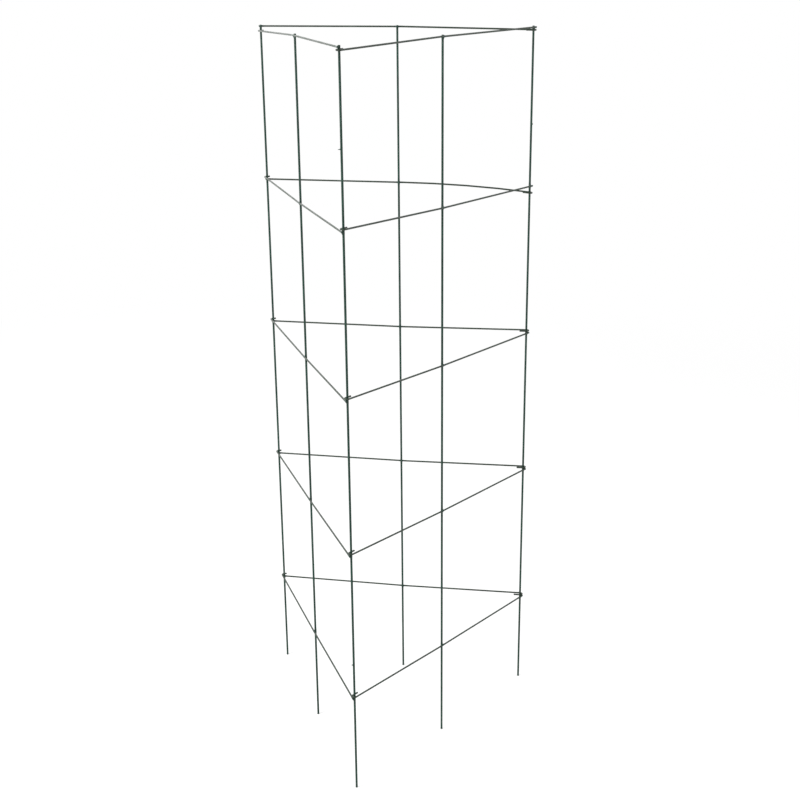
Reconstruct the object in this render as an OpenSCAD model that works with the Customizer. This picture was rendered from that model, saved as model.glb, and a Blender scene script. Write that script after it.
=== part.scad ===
// Folding tomato cage of coated steel wire, made of three flat panels that stand in a triangle.
// A panel has a corner post, a mid post and a row of rungs. Each rung is welded to the outer side of both
// posts of its own panel, and its far end is formed into a hook round the next panel's corner post.
// The hooks of the back and right panels are closed and make the hinges. Those of the left panel are
// left open and make the latch. The origin is on the ground, in the middle of the triangle.

/* [Frame] */
// Distance between two corner posts
panel_pitch = 406.4; // [250:0.1:700]
// Height from one rung to the next
level_pitch = 228.6; // [120:0.1:350]
// Length of leg below the lowest rung
leg_length = 152.4; // [60:0.1:350]
// Length of post above the top rung
post_top_length = 2; // [2:0.5:40]
// Shift of the mid post from the middle of its panel, towards the hooks
mid_post_shift = 4; // [-60:1:60]

/* [Wire] */
// Diameter of the post wire
post_d = 3.2; // [2:0.1:8]
// Diameter of the rung wire
rung_d = 2.5; // [1.5:0.1:6]
// Bevel that the cutter leaves at each wire end
cut_bevel = 0.3; // [0.1:0.05:0.5]
// Length of rung past the axis of the corner post that it is welded to
rung_stub = 3.5; // [2.5:0.1:15]
// Depth by which a rung is pressed on to a post at a weld
weld_set = 0.3; // [0.1:0.05:0.6]

/* [Hooks] */
// Clearance between a hook and the post that turns in it
hook_clearance = 0.5; // [0.3:0.05:1.5]
// Tail of a hinge hook, past the half turn that it takes round its post
hinge_tail = 10; // [2:0.5:30]
// Lip of a latch hook, past the quarter turn that it takes round its post
latch_lip = 5; // [1:0.5:10]
// Clear height between a hook and the weld beside it
hook_rise_gap = 1.2; // [0.8:0.1:10]
// Distance from the mid post to where a rung turns up or down towards its hook
turn_at = 5; // [4:0.5:60]
// Swell of the wire where it turns
turn_swell = 0.05; // [0.03:0.01:0.2]

/* [Hidden] */
$fn = 48;
panel_names = ["back", "right", "left"];
latch_panel = 2;
wire_green = [0.20, 0.27, 0.23];

// Rise of each hook over the weld beside it, in hook rises, from the top level down: one row a panel.
// The top hooks pass under their welds and most of the others over them, so no post slides out of its hooks.
hook_rise_shares = [
    [-1, -2.7, 1, 1, 1],
    [-1, 1, 1, 1, 1],
    [-1.8, 1, 1, 1, 1],
];
levels = len(hook_rise_shares[0]);

// Rungs that bow to their hooks, as panel and level from 0. The others turn once and then run straight.
bowed_rungs = [[0, 1]];

panel_turn = 360 / len(panel_names);
post_r = post_d / 2;
rung_r = rung_d / 2;
post_length = leg_length + (levels - 1) * level_pitch + post_top_length;
hook_rise = rung_d + hook_rise_gap;

// Axis of a rung from the axis of a post: pressed on at a weld, clear of it at a hook
weld_offset = post_r + rung_r - weld_set;
hook_r = post_r + rung_r + hook_clearance;

// A rung runs straight in plan from weld to hook, so it toes out a little and the mid post follows it
rung_toe = atan2(hook_r - weld_offset, panel_pitch);
mid_post_x = panel_pitch / 2 + mid_post_shift;
mid_post_y = mid_post_x * tan(rung_toe);

// Along a rung, from its weld on the corner post: where it turns, and the run from there to its hook
turn_x = mid_post_x / cos(rung_toe) + turn_at;
hook_run = panel_pitch / cos(rung_toe) - turn_x;

// A rung turns in a ball, which the stretches before and after it run into without meeting
turn_ball_r = rung_r + turn_swell;
turn_gap = sqrt(pow(turn_ball_r, 2) - pow(rung_r, 2)) / 2;

// Distance from the middle of the cage to the plane of a panel's corner posts
panel_inset = panel_pitch / 2 / tan(panel_turn / 2);

// Height of a level's rung, counted from 0 at the top
function rung_z(level) = leg_length + (levels - 1 - level) * level_pitch;

// Whether a rung bows all the way to its hook
function is_bowed(panel, level) = len([for (rung = bowed_rungs) if (rung == [panel, level]) rung]) > 0;

// Straight wire along X, with a bevel at either end where it is cut
module straight_wire(d, length, cut_start = false, cut_end = false) {
    start = cut_start ? cut_bevel : 0;
    end = cut_end ? cut_bevel : 0;
    r = d / 2;
    rotate([0, 90, 0]) {
        if (length > start + end)
            translate([0, 0, start])
                cylinder(r = r, h = length - start - end);
        if (cut_start)
            cylinder(r1 = r - cut_bevel, r2 = r, h = cut_bevel);
        if (cut_end)
            translate([0, 0, length - cut_bevel])
                cylinder(r1 = r, r2 = r - cut_bevel, h = cut_bevel);
    }
}

// Bend that starts along X at the origin and turns inwards, away from Y
module inward_bend(d, bend_r, angle) {
    translate([0, -bend_r, 0])
        rotate([0, 0, 90])
            rotate_extrude(angle = -angle)
                translate([bend_r, 0])
                    circle(d = d);
}

// Closed hook at the end of a rung: half a turn round the post, and a tail back along its inner side
module hinge_hook() {
    inward_bend(rung_d, hook_r, 180);
    translate([0, -2 * hook_r, 0])
        rotate([0, 0, 180])
            straight_wire(rung_d, hinge_tail, cut_end = true);
}

// Open hook at the end of a rung: a quarter of a turn round the post, and a lip straight on from it
module latch_hook() {
    inward_bend(rung_d, hook_r, 90);
    translate([hook_r, -hook_r, 0])
        rotate([0, 0, -90])
            straight_wire(rung_d, latch_lip, cut_end = true);
}

// Straight stretch from a rung's turn to its hook, which starts at the origin
module straight_run(climb) {
    length = hook_run / cos(climb) - turn_gap;
    translate([-length, 0, 0])
        straight_wire(rung_d, length);
}

// Bowed stretch from a rung's turn, where it starts level, to its hook, which starts at the origin
module bowed_run(climb) {
    up = sign(climb);
    bow_turn = 2 * abs(climb);
    bow_r = hook_run / sin(bow_turn);
    rotate([-up * 90, 0, 180])
        inward_bend(rung_d, bow_r, bow_turn - asin(turn_gap / bow_r));
}

// Rung along X from its weld on the corner post: level past the mid post, then up or down to its hook
module rung_wire(panel, level) {
    rise = hook_rise * hook_rise_shares[panel][level];
    climb = atan2(rise, hook_run);
    bowed = is_bowed(panel, level);
    translate([-rung_stub, 0, 0])
        straight_wire(rung_d, rung_stub + turn_x - turn_gap, cut_start = true);
    translate([turn_x, 0, 0])
        rotate([0, 90, 0])
            sphere(r = turn_ball_r);
    translate([turn_x + hook_run, 0, rise])
        rotate([0, bowed ? -2 * climb : -climb, 0]) {
            if (bowed)
                bowed_run(climb);
            else
                straight_run(climb);
            if (panel == latch_panel)
                latch_hook();
            else
                hinge_hook();
        }
}

// Puts a panel in its place in the triangle: X runs from its corner post to its hooks, Y points outwards
module in_panel(panel) {
    rotate([0, 0, -panel * panel_turn])
        translate([-panel_pitch / 2, panel_inset, 0])
            children();
}

// Upright wire of a post, from the tip of its leg to its top
module post_wire() {
    rotate([0, -90, 0])
        straight_wire(post_d, post_length, true, true);
}

// The mid post's wire, at its place in a panel
module mid_post_wire() {
    translate([mid_post_x, mid_post_y, 0])
        post_wire();
}

// Corner post, which the panel's own rungs are welded to and the next panel's hooks turn on
module corner_post(panel) {
    color(wire_green)
        in_panel(panel)
            post_wire();
}

// Mid post, which stiffens the panel and gives it a second leg
module mid_post(panel) {
    color(wire_green)
        in_panel(panel)
            mid_post_wire();
}

// Rung with its hook, seated on the posts where it is welded to them
module rung(panel, level) {
    color(wire_green)
        in_panel(panel)
            difference() {
                translate([0, weld_offset, rung_z(level)])
                    rotate([0, 0, rung_toe])
                        rung_wire(panel, level);
                post_wire();
                mid_post_wire();
            }
}

for (panel = [0:len(panel_names) - 1]) {
    name = panel_names[panel];
    corner_post(panel);
    mid_post(panel);
    for (level = [0:levels - 1])
        rung(panel, level);
}
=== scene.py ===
"""Looks of a folding tomato cage: coated wire, welds, coating build-up, and a plain studio."""
import logging
import math
import random
from dataclasses import dataclass, field
from enum import Enum
from typing import Any, Optional, Union

import bmesh
import bpy
from mathutils import Matrix, Vector


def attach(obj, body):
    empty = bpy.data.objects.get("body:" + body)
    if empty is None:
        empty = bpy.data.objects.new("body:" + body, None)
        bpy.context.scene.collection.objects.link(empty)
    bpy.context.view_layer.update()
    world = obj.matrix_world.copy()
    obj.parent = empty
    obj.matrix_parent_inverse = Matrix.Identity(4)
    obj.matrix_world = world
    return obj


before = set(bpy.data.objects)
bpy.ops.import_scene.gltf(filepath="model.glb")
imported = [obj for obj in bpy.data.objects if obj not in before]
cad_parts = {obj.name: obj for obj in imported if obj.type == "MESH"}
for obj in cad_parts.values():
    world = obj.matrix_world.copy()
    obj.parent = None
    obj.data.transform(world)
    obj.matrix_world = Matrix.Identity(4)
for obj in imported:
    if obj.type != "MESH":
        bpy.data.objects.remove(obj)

LOG = logging.getLogger("tomato_cage")
MM = 0.001
Colour = tuple[float, float, float, float]
Point = tuple[float, float, float]
Span = tuple[float, float]
Profile = list[tuple[float, float]]
WHITE: Colour = (1.0, 1.0, 1.0, 1.0)


class PanelSide(Enum):
    """The three panels, named after where their rungs run, in their order round the triangle."""

    BACK = 0
    RIGHT = 1
    LEFT = 2

    @property
    def key(self) -> str:
        """The panel's name as its nodes carry it."""
        return self.name.lower()

    @property
    def body(self) -> str:
        """The body that the panel moves with."""
        return f"{self.key}_panel"

    @property
    def turn(self) -> float:
        """Turn of the panel about the upright axis, in radians."""
        return -self.value * math.tau / len(PanelSide)


class PostPlace(Enum):
    """The two posts of a panel."""

    CORNER = "corner"
    MID = "mid"


class WireRun(Enum):
    """Which way a wire runs, which is the way its drawing marks lie."""

    UPRIGHT = "upright"
    LEVEL = "level"


class CutEnd(Enum):
    """How the coating closes over a cut end: insets from its skin and heights, in millimetres."""

    FLAT = ((0.28, -0.03), (0.40, 0.0))
    DOMED = ((0.28, 0.015), (0.62, 0.105), (0.9125, 0.14))


@dataclass(frozen=True)
class CageLayout:
    """Sizes of the cage in metres, and where its posts, rungs and hooks are."""

    panel_pitch: float = 0.4064
    level_pitch: float = 0.2286
    leg_length: float = 0.1524
    post_top_length: float = 0.002
    mid_post_shift: float = 0.004
    post_r: float = 0.0016
    rung_r: float = 0.00125
    rung_stub: float = 0.0035
    weld_set: float = 0.0003
    hook_clearance: float = 0.0005
    hinge_tail: float = 0.010
    latch_lip: float = 0.005
    hook_rise: float = 0.0037
    turn_at: float = 0.005
    rise_shares: tuple[tuple[float, ...], ...] = (
        (-1, -2.7, 1, 1, 1),
        (-1, 1, 1, 1, 1),
        (-1.8, 1, 1, 1, 1),
    )
    bowed_rungs: tuple[tuple[PanelSide, int], ...] = ((PanelSide.BACK, 1),)

    @property
    def levels(self) -> int:
        """Number of rungs in a panel."""
        return len(self.rise_shares[0])

    @property
    def weld_offset(self) -> float:
        """Distance from a post's axis to the axis of a rung welded to it."""
        return self.post_r + self.rung_r - self.weld_set

    @property
    def hook_r(self) -> float:
        """Radius of a hook's axis round its post."""
        return self.post_r + self.rung_r + self.hook_clearance

    @property
    def toe(self) -> float:
        """Turn of a rung away from the plane of its corner posts, in radians."""
        return math.atan2(self.hook_r - self.weld_offset, self.panel_pitch)

    @property
    def hook_x(self) -> float:
        """Distance along a rung from its weld on the corner post to its hook."""
        return self.panel_pitch / math.cos(self.toe)

    @property
    def mid_post_x(self) -> float:
        """Distance from a panel's corner post to its mid post."""
        return self.panel_pitch / 2 + self.mid_post_shift

    def rung_z(self, level: int) -> float:
        """Height of a level's rungs, counted from 0 at the top."""
        return self.leg_length + (self.levels - 1 - level) * self.level_pitch

    def rise(self, side: PanelSide, level: int) -> float:
        """Height of a rung's hook over its welds."""
        return self.hook_rise * self.rise_shares[side.value][level]

    def panel_matrix(self, side: PanelSide) -> Matrix:
        """Place of a panel: X runs from its corner post to its hooks, and Y points outwards.

        Args:
            side: The panel.

        Returns:
            The matrix from the panel's own frame to the cage's.
        """
        half = self.panel_pitch / 2
        inset = half * math.tan(math.pi / 2 - math.pi / len(PanelSide))
        return Matrix.Rotation(side.turn, 4, "Z") @ Matrix.Translation((-half, inset, 0))

    def post_matrix(self, side: PanelSide, place: PostPlace, height: float = 0.0) -> Matrix:
        """Place of a point on a post's axis, with X along the rungs and Y outwards.

        Args:
            side: The panel that the post is in.
            place: Which of its posts.
            height: Height of the point above the ground.

        Returns:
            The matrix from a frame on the post to the cage's.
        """
        x = 0.0 if place is PostPlace.CORNER else self.mid_post_x
        at = Matrix.Translation((x, x * math.tan(self.toe), height))
        return self.panel_matrix(side) @ at @ Matrix.Rotation(self.toe, 4, "Z")

    def climb(self, side: PanelSide, level: int) -> float:
        """Slope of the straight line from a rung's turn to its hook, in radians."""
        turn_x = self.mid_post_x / math.cos(self.toe) + self.turn_at
        return math.atan2(self.rise(side, level), self.hook_x - turn_x)

    def turn(self, side: PanelSide, level: int) -> float:
        """Angle by which a rung turns up past its mid post, in radians: none where it bows."""
        return 0.0 if (side, level) in self.bowed_rungs else self.climb(side, level)

    def hook_matrix(self, side: PanelSide, level: int) -> Matrix:
        """Place of the start of a rung's hook, with X along the wire and Y outwards.

        Args:
            side: The panel that the rung is in.
            level: The rung's level, counted from 0 at the top.

        Returns:
            The matrix from the hook's own frame to the cage's.
        """
        tilt = 2 * self.climb(side, level) - self.turn(side, level)
        return (
            self.panel_matrix(side)
            @ Matrix.Translation((0, self.weld_offset, self.rung_z(level)))
            @ Matrix.Rotation(self.toe, 4, "Z")
            @ Matrix.Translation((self.hook_x, 0, self.rise(side, level)))
            @ Matrix.Rotation(-tilt, 4, "Y")
        )

    def hook_end(self, side: PanelSide, level: int) -> Matrix:
        """Place of a hook's cut end, with Z pointing out of the wire.

        Args:
            side: The panel that the rung is in.
            level: The rung's level, counted from 0 at the top.

        Returns:
            The matrix from a frame on the cut end to the cage's.
        """
        if side is PanelSide.LEFT:
            end = Matrix.Translation((self.hook_r, -self.hook_r - self.latch_lip, 0))
            outwards = Matrix.Rotation(math.pi / 2, 4, "X")
        else:
            end = Matrix.Translation((-self.hinge_tail, -2 * self.hook_r, 0))
            outwards = Matrix.Rotation(-math.pi / 2, 4, "Y")
        return self.hook_matrix(side, level) @ end @ outwards


class Val:
    """A node's output that takes part in Python expressions, each of which adds a Math node."""

    def __init__(self, sheet: "NodeSheet", socket: bpy.types.NodeSocket) -> None:
        """Keeps the socket and the node sheet that it is on."""
        self.sheet = sheet
        self.socket = socket

    def math(self, operation: str, *terms: Union["Val", float]) -> "Val":
        """Adds a Math node of that operation."""
        return self.sheet.node("ShaderNodeMath", {"operation": operation}, dict(enumerate(terms)))

    def __add__(self, other: Union["Val", float]) -> "Val":
        """Sum."""
        return self.math("ADD", self, other)

    def __radd__(self, other: float) -> "Val":
        """Sum with a number first."""
        return self.math("ADD", other, self)

    def __sub__(self, other: Union["Val", float]) -> "Val":
        """Difference."""
        return self.math("SUBTRACT", self, other)

    def __rsub__(self, other: float) -> "Val":
        """Difference with a number first."""
        return self.math("SUBTRACT", other, self)

    def __mul__(self, other: Union["Val", float]) -> "Val":
        """Product."""
        return self.math("MULTIPLY", self, other)

    def __rmul__(self, other: float) -> "Val":
        """Product with a number first."""
        return self.math("MULTIPLY", other, self)

    def nearest(self, step: float) -> "Val":
        """Distance to the nearest multiple of a step."""
        return self.math("PINGPONG", self, step / 2)

    def most(self, other: "Val") -> "Val":
        """The larger of two values."""
        return self.math("MAXIMUM", self, other)

    def ease(self, span: Span) -> "Val":
        """A smooth step from 0 at the span's start to 1 at its end.

        Args:
            span: The start and the end.

        Returns:
            The step.
        """
        return self.sheet.node(
            "ShaderNodeMapRange",
            {"interpolation_type": "SMOOTHSTEP"},
            {"Value": self, "From Min": span[0], "From Max": span[1], "To Min": 0.0, "To Max": 1.0},
        )

    def out(self, key: Union[int, str]) -> "Val":
        """Another output of the same node."""
        return Val(self.sheet, self.socket.node.outputs[key])


class NodeSheet:
    """The nodes of one material or world."""

    def __init__(self, tree: bpy.types.NodeTree) -> None:
        """Empties the tree and keeps it."""
        self.tree = tree
        tree.nodes.clear()

    def node(
        self,
        kind: str,
        settings: Optional[dict[str, Any]] = None,
        sockets: Optional[dict[Union[int, str], Any]] = None,
        out: Union[int, str] = 0,
    ) -> Val:
        """Adds a node.

        Args:
            kind: The node's type.
            settings: Its own settings, which are set first.
            sockets: Values or links of its inputs.
            out: The output that is wanted.

        Returns:
            That output.
        """
        made = self.tree.nodes.new(kind)
        for name, value in (settings or {}).items():
            setattr(made, name, value)
        for key, value in (sockets or {}).items():
            if isinstance(value, Val):
                self.tree.links.new(value.socket, made.inputs[key])
            else:
                made.inputs[key].default_value = value
        return Val(self, made.outputs[out] if len(made.outputs) else made.inputs[0])

    def blend(self, share: Val, first: Union[Val, Colour], second: Union[Val, Colour]) -> Val:
        """Mixes two colours, from the first at 0 to the second at 1.

        Args:
            share: Share of the second colour.
            first: The first colour.
            second: The second colour.

        Returns:
            The mixed colour.
        """
        sockets = {0: share, 6: first, 7: second}
        return self.node("ShaderNodeMix", {"data_type": "RGBA"}, sockets, out=2)


@dataclass(frozen=True)
class NoiseLayer:
    """One layer of noise in a finish, eased from 0 to 1 across a span where it has one."""

    scale: float
    detail: float = 2.0
    roughness: float = 0.5
    span: Optional[Span] = None

    def over(self, vector: Val) -> Val:
        """Adds the layer.

        Args:
            vector: The coordinates that the noise lies on.

        Returns:
            The layer, between 0 and 1.
        """
        noise = vector.sheet.node(
            "ShaderNodeTexNoise",
            {},
            {
                "Vector": vector,
                "Scale": self.scale,
                "Detail": self.detail,
                "Roughness": self.roughness,
            },
        )
        return noise if self.span is None else noise.ease(self.span)


@dataclass(frozen=True)
class LayerShares:
    """How much each layer of a coating counts towards one of its properties."""

    mottle: float = 0.0
    cloud: float = 0.0
    pebble: float = 0.0
    marks: float = 0.0
    scuff: float = 0.0
    joint: float = 0.0

    def total(self, layers: dict[str, Val]) -> Val:
        """Adds up the layers that count.

        Args:
            layers: The coating's layers by name.

        Returns:
            The sum of the layers times their shares.
        """
        shares = {name: getattr(self, name) for name in layers}
        terms = [layer * shares[name] for name, layer in layers.items() if shares[name]]
        return sum(terms[1:], terms[0])


@dataclass(frozen=True)
class WireCoating:
    """Green coating of the wire: mottled, a little pebbled, thicker at the joints and scuffed.

    Spans along the wire, drawing marks and the bump's height are in metres.
    """

    name: str
    deep: Colour = (0.005, 0.022, 0.014, 1.0)
    pale: Colour = (0.012, 0.046, 0.031, 1.0)
    scuffed: Colour = (0.13, 0.16, 0.145, 1.0)
    roughness: float = 0.38
    specular: float = 0.22
    run: WireRun = WireRun.UPRIGHT
    side: PanelSide = PanelSide.BACK
    runs_out_to: Optional["WireCoating"] = None
    run_out_span: Span = (0.002, 0.006)
    mottle: NoiseLayer = NoiseLayer(60.0, detail=4.0, roughness=0.55, span=(0.32, 0.70))
    cloud: NoiseLayer = NoiseLayer(11.0, span=(0.30, 0.70))
    pebble: NoiseLayer = NoiseLayer(850.0, roughness=0.6)
    marks: NoiseLayer = NoiseLayer(1.0, detail=3.0, roughness=0.6)
    mark_length: float = 0.045
    mark_width: float = 0.0011
    mark_span: Span = (0.35, 0.75)
    mark_darkening: float = 0.25
    scuffs: NoiseLayer = NoiseLayer(1.7, roughness=0.4, span=(0.63, 0.69))
    scuff_paling: float = 0.55
    joint_span: Span = (0.004, 0.013)
    joint_darkening: float = 0.45
    rung_joint: NoiseLayer = NoiseLayer(35.0, span=(0.58, 0.75))
    rung_joint_share: float = 0.5
    pale_shares: LayerShares = LayerShares(mottle=0.7, cloud=0.3)
    rough_shares: LayerShares = LayerShares(mottle=0.08, marks=0.06, scuff=0.18, joint=-0.05)
    height_shares: LayerShares = LayerShares(pebble=0.7, marks=0.3, scuff=-0.4)
    bump_strength: float = 0.5
    bump_height: float = 0.00018
    gloss: float = 0.03
    joint_gloss: float = 0.05
    gloss_roughness: float = 0.22

    def material(self, layout: CageLayout) -> bpy.types.Material:
        """Makes the coating's material.

        Args:
            layout: The cage's sizes, for the places of its joints.

        Returns:
            The material.
        """
        made = bpy.data.materials.new(self.name)
        made.use_nodes = True
        sheet = NodeSheet(made.node_tree)
        place = sheet.node("ShaderNodeTexCoord", out="Object")
        layers = self._layers(place, layout)
        deep, pale = self.deep, self.pale
        # Away from its post the joint's colour runs into the rung's, whose greyer green is painted
        # sheen.
        if self.runs_out_to is not None:
            out = self._run_out(place, layout)
            layers["joint"] = layers["joint"] * (1.0 - out)
            deep = sheet.blend(out, deep, self.runs_out_to.deep)
            pale = sheet.blend(out, pale, self.runs_out_to.pale)
        colour = sheet.blend(self.pale_shares.total(layers), deep, pale)
        marked = layers["marks"].ease(self.mark_span) * self.mark_darkening
        colour = sheet.blend(marked, colour, deep)
        colour = sheet.blend(layers["joint"] * self.joint_darkening, colour, deep)
        colour = sheet.blend(layers["scuff"] * self.scuff_paling, colour, self.scuffed)
        relief = {
            "Strength": self.bump_strength,
            "Distance": self.bump_height,
            "Height": self.height_shares.total(layers),
        }
        shader = sheet.node(
            "ShaderNodeBsdfPrincipled",
            {},
            {
                "Base Color": colour,
                "Roughness": self.roughness + self.rough_shares.total(layers),
                "Specular IOR Level": self.specular,
                "Normal": sheet.node("ShaderNodeBump", {}, relief),
                "Coat Weight": self.gloss + layers["joint"] * self.joint_gloss,
                "Coat Roughness": self.gloss_roughness,
            },
        )
        sheet.node("ShaderNodeOutputMaterial", {}, {"Surface": shader})
        return made

    def _layers(self, place: Val, layout: CageLayout) -> dict[str, Val]:
        """Makes the layers that the coating's properties are mixed from.

        Args:
            place: Object coordinates.
            layout: The cage's sizes, for the heights of its joints.

        Returns:
            The layers by name.
        """
        along = self._along_wire(place)
        cloud = self.cloud.over(place)
        return {
            "mottle": self.mottle.over(place),
            "cloud": cloud,
            "pebble": self.pebble.over(place),
            "marks": self.marks.over(along),
            "scuff": self.scuffs.over(along) * cloud,
            "joint": self._joint_band(place, layout),
        }

    def _along_wire(self, place: Val) -> Val:
        """Coordinates stretched along the wire, so that noise over them gives drawing marks.

        Args:
            place: Object coordinates.

        Returns:
            The coordinates in marks' lengths and widths.
        """
        upright = self.run is WireRun.UPRIGHT
        long, wide = self.mark_length, self.mark_width
        return place.sheet.node(
            "ShaderNodeMapping",
            {"vector_type": "TEXTURE"},
            {
                "Vector": place,
                "Rotation": (0.0, 0.0, 0.0 if upright else self.side.turn),
                "Scale": (wide, wide, long) if upright else (long, wide, wide),
            },
        )

    def _joint_band(self, place: Val, layout: CageLayout) -> Val:
        """Share of thicker coating: near the levels on a post, and in a few blotches on a rung.

        Args:
            place: Object coordinates.
            layout: The cage's sizes, for the heights of its levels.

        Returns:
            The share.
        """
        if self.run is WireRun.LEVEL:
            return self.rung_joint.over(place) * self.rung_joint_share
        height = place.sheet.node("ShaderNodeSeparateXYZ", {}, {"Vector": place}).out("Z")
        from_level = (height - layout.leg_length).nearest(layout.level_pitch)
        return 1.0 - from_level.ease(self.joint_span)

    def _run_out(self, place: Val, layout: CageLayout) -> Val:
        """Share of the rung's colour, a greyer green with painted sheen, in a joint's coating, from
        none at the post outwards.

        Args:
            place: Object coordinates.
            layout: The cage's sizes, for the places of its posts.

        Returns:
            The share.
        """
        in_panel = place.sheet.node(
            "ShaderNodeMapping",
            {"vector_type": "TEXTURE"},
            {
                "Vector": place,
                "Location": layout.panel_matrix(self.side).to_translation(),
                "Rotation": (0.0, 0.0, self.side.turn),
            },
        )
        along = place.sheet.node("ShaderNodeSeparateXYZ", {}, {"Vector": in_panel})
        return along.nearest(layout.mid_post_x).ease(self.run_out_span)


@dataclass
class Mould:
    """A shape made with bmesh operators, in millimetres, about the Z axis of its own frame."""

    bm: bmesh.types.BMesh = field(default_factory=bmesh.new)
    sides: int = 24
    egg_cuts: int = 3
    same_point: float = 1e-4
    smoothing: float = 0.5

    def turned(self, profile: Profile, place: Matrix) -> None:
        """Spins a profile that starts and ends on the axis into a closed solid.

        Args:
            profile: Points as radius and height, from the bottom up.
            place: Where the solid goes.
        """
        part = bmesh.new()
        verts = [part.verts.new((r, 0.0, z)) for r, z in profile]
        edges = [part.edges.new(pair) for pair in zip(verts[:-1], verts[1:])]
        bmesh.ops.spin(
            part,
            geom=verts + edges,
            cent=(0, 0, 0),
            axis=(0, 0, 1),
            angle=math.tau,
            steps=self.sides,
            use_merge=True,
        )
        bmesh.ops.remove_doubles(part, verts=part.verts, dist=self.same_point)
        bmesh.ops.recalc_face_normals(part, faces=part.faces)
        self.take(part, place)

    def egg(self, sizes: Vector, place: Matrix) -> None:
        """Adds an egg.

        Args:
            sizes: Its half sizes along three axes.
            place: Where it goes.
        """
        part = bmesh.new()
        bmesh.ops.create_icosphere(part, subdivisions=self.egg_cuts, radius=1.0)
        bmesh.ops.scale(part, vec=sizes, verts=part.verts)
        self.take(part, place)

    def take(self, part: bmesh.types.BMesh, place: Matrix) -> None:
        """Moves a part to its place, adds it to the shape and ends it.

        Args:
            part: The part.
            place: Where it goes.
        """
        part.transform(place)
        held = bpy.data.meshes.new("held")
        part.to_mesh(held)
        part.free()
        self.bm.from_mesh(held)
        bpy.data.meshes.remove(held)

    def melt(self, voxel: float, rounds: int) -> None:
        """Runs all the parts of the shape into one skin and smooths it, so that fillets form.

        Args:
            voxel: Grain of the skin, in millimetres.
            rounds: Rounds of smoothing.
        """
        held = bpy.data.meshes.new("held")
        self.bm.to_mesh(held)
        carrier = bpy.data.objects.new("carrier", held)
        bpy.context.scene.collection.objects.link(carrier)
        remesh = carrier.modifiers.new("skin", "REMESH")
        remesh.mode = "VOXEL"
        remesh.voxel_size = voxel
        depsgraph = bpy.context.evaluated_depsgraph_get()
        skin = bpy.data.meshes.new_from_object(carrier.evaluated_get(depsgraph))
        self.bm.clear()
        self.bm.from_mesh(skin)
        bpy.data.objects.remove(carrier)
        bpy.data.meshes.remove(held)
        bpy.data.meshes.remove(skin)
        for _ in range(rounds):
            bmesh.ops.smooth_vert(
                self.bm,
                verts=self.bm.verts,
                factor=self.smoothing,
                use_axis_x=True,
                use_axis_y=True,
                use_axis_z=True,
            )

    def pour_into(self, whole: "Mould", place: Matrix) -> None:
        """Adds this shape to a larger one, which is in metres, and ends it."""
        whole.take(self.bm, place @ Matrix.Scale(MM, 4))

    def piece(self, name: str, finish: bpy.types.Material) -> bpy.types.Object:
        """Makes the shape, which is in metres by now, into a piece.

        Args:
            name: The piece's name.
            finish: Its material.

        Returns:
            The piece, at the origin.
        """
        mesh = bpy.data.meshes.new(name)
        for face in self.bm.faces:
            face.smooth = True
        self.bm.to_mesh(mesh)
        self.bm.free()
        mesh.materials.append(finish)
        made = bpy.data.objects.new(name, mesh)
        bpy.context.scene.collection.objects.link(made)
        return made


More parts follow.
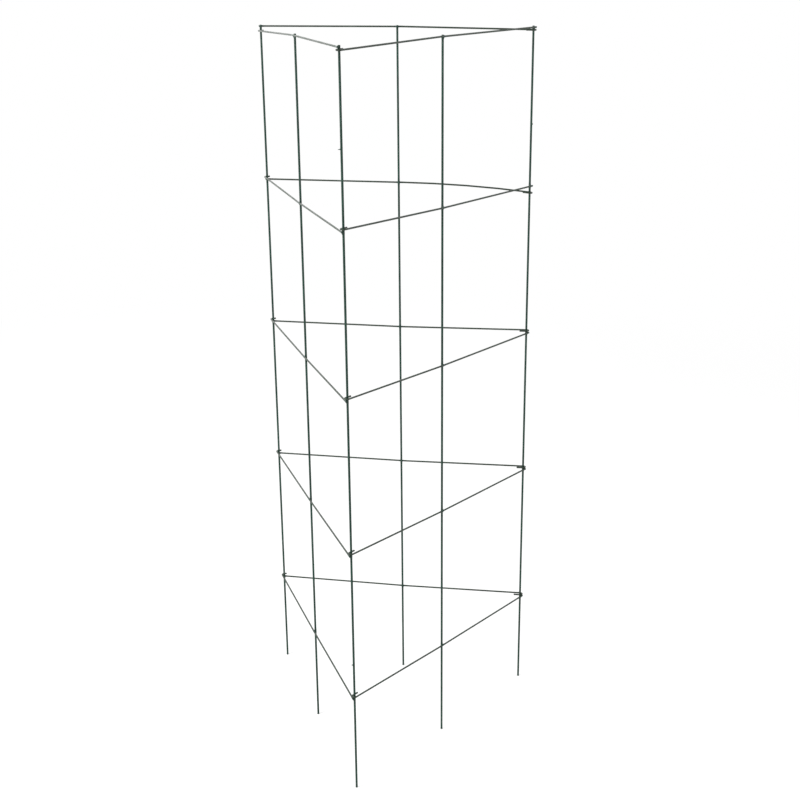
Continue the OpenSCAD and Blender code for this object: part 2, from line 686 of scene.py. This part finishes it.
@dataclass
class WeldBeads:
    """Weld nuggets of one panel, with the coating that has run together over each crossing.

    Sizes are in millimetres, and lucks are the spans that small differences are drawn from.
    """

    side: PanelSide
    layout: CageLayout
    reach: float = 6.5
    body: float = 1.6
    body_luck: Span = (0.8, 1.2)
    swell: float = 0.17
    swell_luck: Span = (0.8, 1.3)
    rim: float = 0.035
    lap: float = 0.6
    sink: float = 0.12
    stub_face: float = 0.22
    stub_edge: float = 0.20
    stub_edge_share: float = 0.7
    stub_shoulder: float = 0.25
    turn_reach: float = 6.0
    turn_body: float = 1.5
    turn_swell_share: float = 0.6
    nugget: Point = (2.15, 1.25, 1.9)
    nugget_luck: Span = (0.92, 1.12)
    nugget_inset: float = 0.15
    nugget_aside: Span = (-0.2, 0.2)
    nugget_up: Span = (-0.3, 0.05)
    drop: Point = (0.75, 0.7, 0.8)
    drop_aside: Span = (-0.5, 0.5)
    drop_inset: float = 0.55
    drop_below: float = 0.25
    drop_fall: float = 0.5
    drop_stretch: float = 0.7
    voxel: float = 0.3
    rounds: int = 7
    seed: int = 11

    def build(self, finish: bpy.types.Material) -> bpy.types.Object:
        """Makes all the beads of the panel as one piece.

        Args:
            finish: The coating's material.

        Returns:
            The piece, riding on its panel.
        """
        whole = Mould()
        luck = random.Random(self.seed + self.side.value)
        for place in PostPlace:
            for level in range(self.layout.levels):
                bead = self._bead(place, level, luck)
                height = self.layout.rung_z(level)
                bead.pour_into(whole, self.layout.post_matrix(self.side, place, height))
        made = whole.piece(f"{self.side.key}_weld_beads", finish)
        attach(made, self.side.body)
        return made

    def _bead(self, place: PostPlace, level: int, luck: random.Random) -> Mould:
        """One bead, with the post along Z and the rung along X on its outer side.

        Args:
            place: Which post it is on.
            level: Its level, counted from 0 at the top, where the post ends just above it.
            luck: Source of small differences.

        Returns:
            The bead.
        """
        post_r, rung_r = self.layout.post_r / MM, self.layout.rung_r / MM
        offset = self.layout.weld_offset / MM
        shape = Mould()
        post_end = self.layout.post_top_length / MM if level == 0 else None
        shape.turned(self._sleeve(post_r, luck, post_end), Matrix.Rotation(math.pi, 4, "X"))
        across = Matrix.Translation((0, offset, 0)) @ Matrix.Rotation(math.pi / 2, 4, "Y")
        rung_end = self.layout.rung_stub / MM if place is PostPlace.CORNER else None
        shape.turned(self._sleeve(rung_r, luck, rung_end), across)
        if place is PostPlace.MID:
            self._turn_sleeve(shape, level)
        aside, up = luck.uniform(*self.nugget_aside), luck.uniform(*self.nugget_up)
        seat = Matrix.Translation((aside, post_r - self.nugget_inset, up))
        shape.egg(Vector(self.nugget) * luck.uniform(*self.nugget_luck), seat)
        if not self._hook_under(place, level):
            sag = luck.random()
            below = rung_r + self.drop_below + self.drop_fall * sag
            hang = (luck.uniform(*self.drop_aside), offset - self.drop_inset, -below)
            stretch = Vector((0, 0, self.drop_stretch * sag))
            shape.egg(Vector(self.drop) + stretch, Matrix.Translation(hang))
        shape.melt(self.voxel, self.rounds)
        return shape

    def _turn_sleeve(self, shape: Mould, level: int) -> None:
        """Adds the coating over a rung's turn, from there along its climb to the hook.

        Args:
            shape: The bead that it is added to.
            level: The rung's level, counted from 0 at the top.
        """
        rung_r = self.layout.rung_r / MM
        proud = rung_r + self.turn_swell_share * self.swell
        half, far = self.turn_body, self.turn_reach
        profile = [(0.0, -half), (proud, -half), (proud, half)] + self._feather(rung_r, far)
        turn = Matrix.Translation((self.layout.turn_at / MM, self.layout.weld_offset / MM, 0))
        ahead = Matrix.Rotation(math.pi / 2 - self.layout.turn(self.side, level), 4, "Y")
        shape.turned(profile, turn @ ahead)

    def _hook_under(self, place: PostPlace, level: int) -> bool:
        """Whether another panel's hook lies under the weld, so that no drop can hang there."""
        hooked = (self.side.value - 1) % len(PanelSide)
        return place is PostPlace.CORNER and self.layout.rise_shares[hooked][level] < 0

    def _sleeve(self, radius: float, luck: random.Random, stub: Optional[float]) -> Profile:
        """Profile of the coating on a wire: proud at the weld, and run out to a low rim.

        Args:
            radius: The wire's radius.
            luck: Source of small differences.
            stub: Length to the wire's cut end, at the start of the profile, if it is near.

        Returns:
            Points as radius and height.
        """
        proud = radius + self.swell * luck.uniform(*self.swell_luck)
        body = self.body * luck.uniform(*self.body_luck)
        if stub is None:
            foot = [(r, -z) for r, z in reversed(self._feather(radius, self.reach))]
            foot.append((proud, -body))
        else:
            foot = [
                (0.0, -stub - self.stub_face),
                (self.stub_edge_share * proud, -stub - self.stub_edge),
                (proud, -stub + self.stub_shoulder),
            ]
        return foot + [(proud, body)] + self._feather(radius, self.reach)

    def _feather(self, radius: float, far: float) -> Profile:
        """End of a sleeve's profile: a low rim that dips under the wire's skin and closes."""
        rim, under = radius + self.rim, radius - self.sink
        return [(rim, far - self.lap), (under, far), (0.0, far)]


@dataclass
class EndCaps:
    """Coating that has rounded over the leg tips and hook ends of one panel, in millimetres."""

    side: PanelSide
    layout: CageLayout
    skin: float = 0.1
    reach: float = 2.6
    start_share: float = 0.62
    proud_share: float = 0.36
    shoulder: tuple[tuple[float, float], ...] = ((0.0, -0.42), (0.09, -0.18))

    def leg_tips(self, finish: bpy.types.Material) -> bpy.types.Object:
        """Makes the caps on the legs as one piece.

        Args:
            finish: The coating's material.

        Returns:
            The piece, riding on its panel.
        """
        whole = Mould()
        down = Matrix.Rotation(math.pi, 4, "X")
        for place in PostPlace:
            cap = self._cap(self.layout.post_r / MM, CutEnd.FLAT)
            cap.pour_into(whole, self.layout.post_matrix(self.side, place) @ down)
        made = whole.piece(f"{self.side.key}_leg_tips", finish)
        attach(made, self.side.body)
        return made

    def hook_ends(self, finish: bpy.types.Material) -> bpy.types.Object:
        """Makes the caps on the hooks as one piece.

        Args:
            finish: The coating's material.

        Returns:
            The piece, riding on its panel.
        """
        whole = Mould()
        for level in range(self.layout.levels):
            cap = self._cap(self.layout.rung_r / MM, CutEnd.DOMED)
            cap.pour_into(whole, self.layout.hook_end(self.side, level))
        made = whole.piece(f"{self.side.key}_hook_ends", finish)
        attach(made, self.side.body)
        return made

    def _cap(self, radius: float, end: CutEnd) -> Mould:
        """One cap, whose wire ends at the origin and points along Z.

        Args:
            radius: The wire's radius.
            end: How the cap closes.

        Returns:
            The cap.
        """
        proud = radius + self.skin
        profile = [
            (0.0, -self.reach),
            (radius - self.skin, -self.reach),
            (radius, -self.reach * self.start_share),
            (proud, -self.reach * self.proud_share),
        ]
        profile += [(proud - inset, height) for inset, height in self.shoulder + end.value]
        profile.append((0.0, profile[-1][1]))
        shape = Mould()
        shape.turned(profile, Matrix.Identity(4))
        return shape


@dataclass(frozen=True)
class Nib:
    """A spur or lump that the coating left on a post.

    Its height is in metres, its bearing in degrees, and its length and thickness in millimetres.
    """

    side: PanelSide
    height: float
    bearing: float
    length: float
    thickness: float
    place: PostPlace = PostPlace.CORNER


@dataclass
class CoatingNibs:
    """Spurs and lumps of set coating on one panel's posts, where the photographed cage has them.

    Sizes are in millimetres, and shares are of a nib's own thickness and length.
    """

    side: PanelSide
    layout: CageLayout
    nibs: tuple[Nib, ...]
    droop: float = 97.0
    root_start: float = 0.2
    root_inset: float = 0.1
    waist_share: float = 0.62
    waist_at_share: float = 0.35
    tip_share: float = 0.3
    tip_at_share: float = 0.9
    foot_depth: float = 0.8
    foot_shares: tuple[float, float] = (1.1, 1.9)
    foot_inset: float = 0.35
    foot_drop_share: float = 0.25
    sides: int = 16
    voxel: float = 0.16
    rounds: int = 4

    def build(self, finish: bpy.types.Material) -> bpy.types.Object:
        """Makes the panel's nibs as one piece.

        Args:
            finish: The coating's material.

        Returns:
            The piece, riding on its panel.
        """
        whole = Mould()
        for nib in self.nibs:
            at = self.layout.post_matrix(nib.side, nib.place, nib.height).to_translation()
            facing = Matrix.Rotation(math.radians(nib.bearing), 4, "Z")
            self._nib(nib).pour_into(whole, Matrix.Translation(at) @ facing)
        made = whole.piece(f"{self.side.key}_coating_nibs", finish)
        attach(made, self.side.body)
        return made

    def _nib(self, nib: Nib) -> Mould:
        """One nib, which stands out along X from a post along Z.

        Args:
            nib: Its sizes.

        Returns:
            The nib.
        """
        post_r, root = self.layout.post_r / MM, nib.thickness
        profile = [
            (0.0, self.root_start),
            (root, self.root_start),
            (root, post_r - self.root_inset),
            (root * self.waist_share, post_r + nib.length * self.waist_at_share),
            (root * self.tip_share, post_r + nib.length * self.tip_at_share),
            (0.0, post_r + nib.length),
        ]
        shape = Mould(sides=self.sides)
        shape.turned(profile, Matrix.Rotation(math.radians(self.droop), 4, "Y"))
        foot = Vector((self.foot_depth, root * self.foot_shares[0], root * self.foot_shares[1]))
        seat = (post_r - self.foot_inset, 0, -self.foot_drop_share * root)
        shape.egg(foot, Matrix.Translation(seat))
        shape.melt(self.voxel, self.rounds)
        return shape


@dataclass
class WirePanel:
    """One panel of the cage: its wires from the frame, and what its coating adds to them."""

    side: PanelSide
    layout: CageLayout
    post_finish: bpy.types.Material
    rung_finish: bpy.types.Material
    joint_finish: bpy.types.Material
    nibs: tuple[Nib, ...]

    def dress_wires(self) -> None:
        """Gives the panel's posts and rungs their coating."""
        for name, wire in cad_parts.items():
            if name.startswith(f"{self.side.key}_"):
                finish = self.rung_finish if "_rung_" in name else self.post_finish
                wire.data.materials.clear()
                wire.data.materials.append(finish)
                LOG.info("coated %s", name)

    def build(self) -> None:
        """Dresses the panel's wires and makes its own pieces."""
        self.dress_wires()
        caps = EndCaps(self.side, self.layout)
        pieces = [
            WeldBeads(self.side, self.layout).build(self.joint_finish),
            caps.leg_tips(self.post_finish),
            caps.hook_ends(self.rung_finish),
        ]
        own = tuple(nib for nib in self.nibs if nib.side is self.side)
        if own:
            pieces.append(CoatingNibs(self.side, self.layout, own).build(self.joint_finish))
        for piece in pieces:
            LOG.info("made %s with %d faces", piece.name, len(piece.data.polygons))


@dataclass(frozen=True)
class Lamp:
    """A square soft lamp that looks at the middle of the cage."""

    name: str
    place: Point
    size: float
    power: float

    def hang(self, target: Point) -> None:
        """Makes the lamp and points it.

        Args:
            target: The point that it looks at.
        """
        light = bpy.data.lights.new(self.name, "AREA")
        light.shape = "SQUARE"
        light.size = self.size
        light.energy = self.power
        made = bpy.data.objects.new(self.name, light)
        made.location = self.place
        ahead = Vector(target) - Vector(self.place)
        made.rotation_euler = ahead.to_track_quat("-Z", "Y").to_euler()
        bpy.context.scene.collection.objects.link(made)


@dataclass(frozen=True)
class Studio:
    """Plain white floor and surroundings, soft lamps, and a camera at the photograph's angle."""

    floor_r: float = 7.0
    floor_sides: int = 96
    floor_colour: Colour = (0.90, 0.90, 0.90, 1.0)
    floor_glow: float = 0.55
    floor_fade: Span = (0.8, 2.6)
    ambient: float = 0.55
    lamps: tuple[Lamp, ...] = (
        Lamp("key_lamp", (-1.4, -1.3, 1.5), size=1.0, power=56.0),
        Lamp("fill_lamp", (2.3, 0.6, 1.9), size=1.6, power=34.0),
        Lamp("back_lamp", (-1.6, 2.5, 1.4), size=2.6, power=42.0),
    )
    lamp_target: Point = (0.0, 0.0, 0.55)
    camera_place: Point = (0.38424, -1.84315, 1.19944)
    camera_yaw: float = 11.0116
    camera_pitch: float = -19.6247
    camera_roll: float = -0.5577
    lens: float = 59.287
    sensor_width: float = 36.0

    def build(self) -> None:
        """Makes the floor, the surroundings, the lamps and the camera."""
        self._floor()
        self._surroundings()
        for lamp in self.lamps:
            lamp.hang(self.lamp_target)
        self._camera()
        bpy.context.scene.view_settings.view_transform = "Standard"

    def _seen(self, sheet: NodeSheet) -> Val:
        """1 for what is seen straight, mirrored or through glass, and 0 for light on the cage."""
        path = sheet.node("ShaderNodeLightPath", out="Is Camera Ray")
        return path.most(path.out("Is Glossy Ray")).most(path.out("Is Transmission Ray"))

    def _floor(self) -> None:
        """Makes the floor, which keeps the cage's shadow near the legs and runs out to white."""
        disc = bmesh.new()
        bmesh.ops.create_circle(disc, cap_ends=True, segments=self.floor_sides, radius=self.floor_r)
        mesh = bpy.data.meshes.new("floor")
        disc.to_mesh(mesh)
        disc.free()
        finish = bpy.data.materials.new("floor_white")
        finish.use_nodes = True
        sheet = NodeSheet(finish.node_tree)
        place = sheet.node("ShaderNodeTexCoord", out="Object")
        length = {"operation": "LENGTH"}
        away = sheet.node("ShaderNodeVectorMath", length, {0: place}, out="Value")
        fade = self.floor_glow + away.ease(self.floor_fade) * (1.0 - self.floor_glow)
        plain = sheet.node("ShaderNodeBsdfDiffuse", {}, {"Color": self.floor_colour})
        white = sheet.node("ShaderNodeEmission", {}, {"Color": WHITE, "Strength": 1.0})
        shares = {0: self._seen(sheet) * fade, 1: plain, 2: white}
        mixed = sheet.node("ShaderNodeMixShader", {}, shares)
        sheet.node("ShaderNodeOutputMaterial", {}, {"Surface": mixed})
        mesh.materials.append(finish)
        floor = bpy.data.objects.new("floor", mesh)
        bpy.context.scene.collection.objects.link(floor)

    def _surroundings(self) -> None:
        """Makes the white surroundings: white where they are seen, softer as light."""
        world = bpy.data.worlds.new("surroundings")
        world.use_nodes = True
        sheet = NodeSheet(world.node_tree)
        strength = self.ambient + self._seen(sheet) * (1.0 - self.ambient)
        white = sheet.node("ShaderNodeBackground", {}, {"Color": WHITE, "Strength": strength})
        sheet.node("ShaderNodeOutputWorld", {}, {"Surface": white})
        bpy.context.scene.world = world

    def _camera(self) -> None:
        """Makes the camera from the place and angles that were fitted to the photograph."""
        angles = (self.camera_yaw, self.camera_pitch, self.camera_roll)
        yaw, pitch, roll = (math.radians(angle) for angle in angles)
        level = Vector((math.cos(yaw), math.sin(yaw), 0.0))
        flat, rise = math.cos(pitch), math.sin(pitch)
        ahead = Vector((-math.sin(yaw) * flat, math.cos(yaw) * flat, rise))
        upright = level.cross(ahead)
        right = level * math.cos(roll) + upright * math.sin(roll)
        up = upright * math.cos(roll) - level * math.sin(roll)
        data = bpy.data.cameras.new("camera")
        data.sensor_width = self.sensor_width
        data.lens = self.lens
        made = bpy.data.objects.new("camera", data)
        turn = Matrix((right, up, -ahead)).transposed().to_4x4()
        made.matrix_world = Matrix.Translation(self.camera_place) @ turn
        bpy.context.scene.collection.objects.link(made)
        bpy.context.scene.camera = made


def main() -> None:
    """Builds the cage's looks and the studio."""
    logging.basicConfig(level=logging.INFO, format="%(name)s: %(message)s")
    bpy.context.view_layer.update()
    layout = CageLayout()
    Studio().build()
    nibs = (
        Nib(PanelSide.LEFT, height=0.9430, bearing=190.0, length=3.4, thickness=0.85),
        Nib(PanelSide.LEFT, height=0.2079, bearing=195.0, length=2.6, thickness=0.95),
        Nib(PanelSide.RIGHT, height=0.9297, bearing=10.0, length=1.2, thickness=1.10),
    )
    post_finish = WireCoating("post_coating_green").material(layout)
    for side in PanelSide:
        # The rungs get a greyer, more olive green than the posts: painted sheen, the grey that
        # white reflections lend the thin glossy rungs, set into their base colour.
        rung_coating_and_sheen = WireCoating(
            f"{side.key}_rung_coating_green",
            deep=(0.010, 0.018, 0.011, 1.0),
            pale=(0.022, 0.038, 0.024, 1.0),
            specular=0.28,
            run=WireRun.LEVEL,
            side=side,
        )
        joint_coating = WireCoating(
            f"{side.key}_joint_coating_green",
            roughness=0.37,
            side=side,
            scuffs=NoiseLayer(1.7, roughness=0.4, span=(0.74, 0.80)),
            runs_out_to=rung_coating_and_sheen,
        )
        rung_finish, joint_finish = rung_coating_and_sheen.material(layout), joint_coating.material(layout)
        WirePanel(side, layout, post_finish, rung_finish, joint_finish, nibs).build()


if __name__ == "__main__":
    main()
